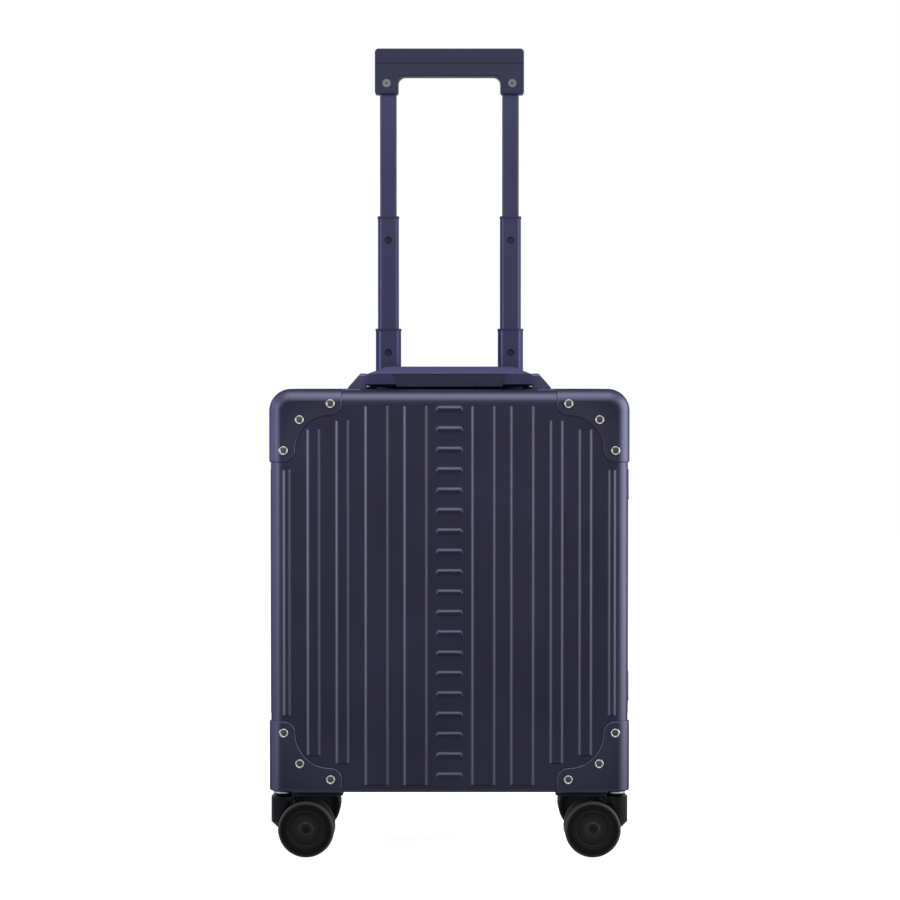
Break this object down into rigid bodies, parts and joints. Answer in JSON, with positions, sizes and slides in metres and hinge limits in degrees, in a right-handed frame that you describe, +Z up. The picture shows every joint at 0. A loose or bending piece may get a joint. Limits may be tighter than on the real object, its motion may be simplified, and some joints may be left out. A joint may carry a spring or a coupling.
{
  "type": "hard shell suitcase on wheels",
  "caption": "Upright ribbed aluminium cabin suitcase with riveted corner guards, a telescoping trolley handle and twin-wheel swivel casters; the front half opens on a side hinge.",
  "frame": {"origin": "on the floor under the middle of the case", "axes": "+Z up along the trolley handle, +Y to the trolley side (rear), -Y the ribbed front, +X the latch side"},
  "size_m": [0.3711, 0.215, 0.8327],
  "materials": {
    "shell_blue": "satin blue anodised sheet",
    "guard_blue": "satin blue anodised pressing",
    "frame_blue": "satin blue anodised extrusion",
    "tube_blue": "satin blue anodised drawn tube",
    "fitting_blue": "satin blue painted casting",
    "rivet_steel": "polished",
    "fitting_steel": "brushed",
    "lining_cloth": "dark woven lining",
    "seal_rubber": "matt",
    "grip_blue": "satin blue moulding",
    "pad_dark": "matt dark soft grip",
    "moulding_dark": "matt dark moulding",
    "caster_black": "black glass-filled moulding",
    "wheel_black": "black soft tread on a black hub",
    "dial_white": "moulded number wheel"
  },
  "bodies": {
    "rear_half": {"rear_shell": "shell_blue", "rear_frame": "frame_blue", "rear_lining": "lining_cloth", "rear_corner_guards": "guard_blue", "rear_guard_rivets": "rivet_steel", "rear_caster_plates": "caster_black", "frame_seal": "seal_rubber", "hinge_rear_leaf": "fitting_blue", "hinge_pin": "fitting_steel", "latch_bases": "fitting_blue", "latch_pins": "fitting_steel", "lock_case": "fitting_blue", "dial_spindle": "fitting_steel", "carry_brackets": "fitting_blue", "carry_pins": "fitting_steel", "trolley_housings": "frame_blue", "trolley_foot": "moulding_dark", "trolley_bezel": "grip_blue"},
    "front_half": {"front_shell": "shell_blue", "front_frame": "frame_blue", "front_lining": "lining_cloth", "front_corner_guards": "guard_blue", "front_guard_rivets": "rivet_steel", "front_caster_plates": "caster_black", "hinge_front_leaf": "fitting_blue", "latch_keepers": "fitting_blue"},
    "upper_latch": {"upper_latch_lever": "fitting_blue"},
    "lower_latch": {"lower_latch_lever": "fitting_blue"},
    "dial_1": {"number_dial_1": "dial_white"},
    "dial_2": {"number_dial_2": "dial_white"},
    "dial_3": {"number_dial_3": "dial_white"},
    "carry_handle": {"carry_handle": "fitting_blue", "carry_grip_pad": "pad_dark"},
    "trolley_lower": {"lower_tubes": "tube_blue", "lower_tube_sleeves": "moulding_dark", "lower_tube_collars": "grip_blue"},
    "trolley_middle": {"middle_tubes": "tube_blue", "middle_tube_sleeves": "moulding_dark", "middle_tube_collars": "grip_blue"},
    "trolley_top": {"inner_tubes": "tube_blue", "inner_tube_sleeves": "moulding_dark", "trolley_grip": "grip_blue", "grip_screws": "rivet_steel"},
    "release_button": {"release_button": "moulding_dark"},
    "front_left_caster": {"front_left_caster_fork": "caster_black", "front_left_caster_axle": "caster_black"},
    "front_left_fore_wheel": {"front_left_fore_wheel": "wheel_black"},
    "front_left_aft_wheel": {"front_left_aft_wheel": "wheel_black"},
    "front_right_caster": {"front_right_caster_fork": "caster_black", "front_right_caster_axle": "caster_black"},
    "front_right_fore_wheel": {"front_right_fore_wheel": "wheel_black"},
    "front_right_aft_wheel": {"front_right_aft_wheel": "wheel_black"},
    "rear_left_caster": {"rear_left_caster_fork": "caster_black", "rear_left_caster_axle": "caster_black"},
    "rear_left_fore_wheel": {"rear_left_fore_wheel": "wheel_black"},
    "rear_left_aft_wheel": {"rear_left_aft_wheel": "wheel_black"},
    "rear_right_caster": {"rear_right_caster_fork": "caster_black", "rear_right_caster_axle": "caster_black"},
    "rear_right_fore_wheel": {"rear_right_fore_wheel": "wheel_black"},
    "rear_right_aft_wheel": {"rear_right_aft_wheel": "wheel_black"}
  },
  "joints": [
    {"name": "lid_hinge", "type": "hinge", "parent": "rear_half", "child": "front_half", "pos_m": [-0.18305, 0, 0.2683], "axis": [0, 0, -1], "range_deg": [0, 105]},
    {"name": "upper_latch_turn", "type": "hinge", "parent": "rear_half", "child": "upper_latch", "pos_m": [0.18355, 0.028, 0.3728], "axis": [0, 0, 1], "range_deg": [0, 110]},
    {"name": "lower_latch_turn", "type": "hinge", "parent": "rear_half", "child": "lower_latch", "pos_m": [0.18355, 0.028, 0.1638], "axis": [0, 0, 1], "range_deg": [0, 110]},
    {"name": "dial_1_turn", "type": "hinge", "parent": "rear_half", "child": "dial_1", "pos_m": [0.1801, 0.025, 0.2593], "axis": [0, 0, 1], "continuous": true},
    {"name": "dial_2_turn", "type": "hinge", "parent": "rear_half", "child": "dial_2", "pos_m": [0.1801, 0.025, 0.2673], "axis": [0, 0, 1], "continuous": true},
    {"name": "dial_3_turn", "type": "hinge", "parent": "rear_half", "child": "dial_3", "pos_m": [0.1801, 0.025, 0.2753], "axis": [0, 0, 1], "continuous": true},
    {"name": "carry_handle_lift", "type": "hinge", "parent": "rear_half", "child": "carry_handle", "pos_m": [0, 0.053, 0.4807], "axis": [-1, 0, 0], "range_deg": [0, 80], "stiffness_Nm_per_rad": 0.05},
    {"name": "lower_stage_slide", "type": "slide", "parent": "rear_half", "child": "trolley_lower", "axis": [0, 0, 1], "range_m": [-0.059, 0.058]},
    {"name": "middle_stage_slide", "type": "slide", "parent": "trolley_lower", "child": "trolley_middle", "axis": [0, 0, 1], "range_m": [-0.116, 0]},
    {"name": "top_stage_slide", "type": "slide", "parent": "trolley_middle", "child": "trolley_top", "axis": [0, 0, 1], "range_m": [-0.129, 0]},
    {"name": "release_button_press", "type": "slide", "parent": "trolley_top", "child": "release_button", "axis": [0, 0, 1], "range_m": [-0.004, 0], "stiffness_N_per_m": 400, "springref_m": 0.004},
    {"name": "front_left_swivel", "type": "hinge", "parent": "front_half", "child": "front_left_caster", "pos_m": [-0.169, -0.081, 0.045], "axis": [0, 0, 1], "continuous": true},
    {"name": "front_left_fore_roll", "type": "hinge", "parent": "front_left_caster", "child": "front_left_fore_wheel", "pos_m": [-0.1444, -0.081, 0.0283], "axis": [0, 1, 0], "continuous": true},
    {"name": "front_left_aft_roll", "type": "hinge", "parent": "front_left_caster", "child": "front_left_aft_wheel", "pos_m": [-0.1444, -0.081, 0.0283], "axis": [0, 1, 0], "continuous": true},
    {"name": "front_right_swivel", "type": "hinge", "parent": "front_half", "child": "front_right_caster", "pos_m": [0.169, -0.081, 0.045], "axis": [0, 0, 1], "continuous": true},
    {"name": "front_right_fore_roll", "type": "hinge", "parent": "front_right_caster", "child": "front_right_fore_wheel", "pos_m": [0.1444, -0.081, 0.0283], "axis": [0, 1, 0], "continuous": true},
    {"name": "front_right_aft_roll", "type": "hinge", "parent": "front_right_caster", "child": "front_right_aft_wheel", "pos_m": [0.1444, -0.081, 0.0283], "axis": [0, 1, 0], "continuous": true},
    {"name": "rear_left_swivel", "type": "hinge", "parent": "rear_half", "child": "rear_left_caster", "pos_m": [-0.169, 0.081, 0.045], "axis": [0, 0, 1], "continuous": true},
    {"name": "rear_left_fore_roll", "type": "hinge", "parent": "rear_left_caster", "child": "rear_left_fore_wheel", "pos_m": [-0.1444, 0.081, 0.0283], "axis": [0, 1, 0], "continuous": true},
    {"name": "rear_left_aft_roll", "type": "hinge", "parent": "rear_left_caster", "child": "rear_left_aft_wheel", "pos_m": [-0.1444, 0.081, 0.0283], "axis": [0, 1, 0], "continuous": true},
    {"name": "rear_right_swivel", "type": "hinge", "parent": "rear_half", "child": "rear_right_caster", "pos_m": [0.169, 0.081, 0.045], "axis": [0, 0, 1], "continuous": true},
    {"name": "rear_right_fore_roll", "type": "hinge", "parent": "rear_right_caster", "child": "rear_right_fore_wheel", "pos_m": [0.1444, 0.081, 0.0283], "axis": [0, 1, 0], "continuous": true},
    {"name": "rear_right_aft_roll", "type": "hinge", "parent": "rear_right_caster", "child": "rear_right_aft_wheel", "pos_m": [0.1444, 0.081, 0.0283], "axis": [0, 1, 0], "continuous": true}
  ]
}
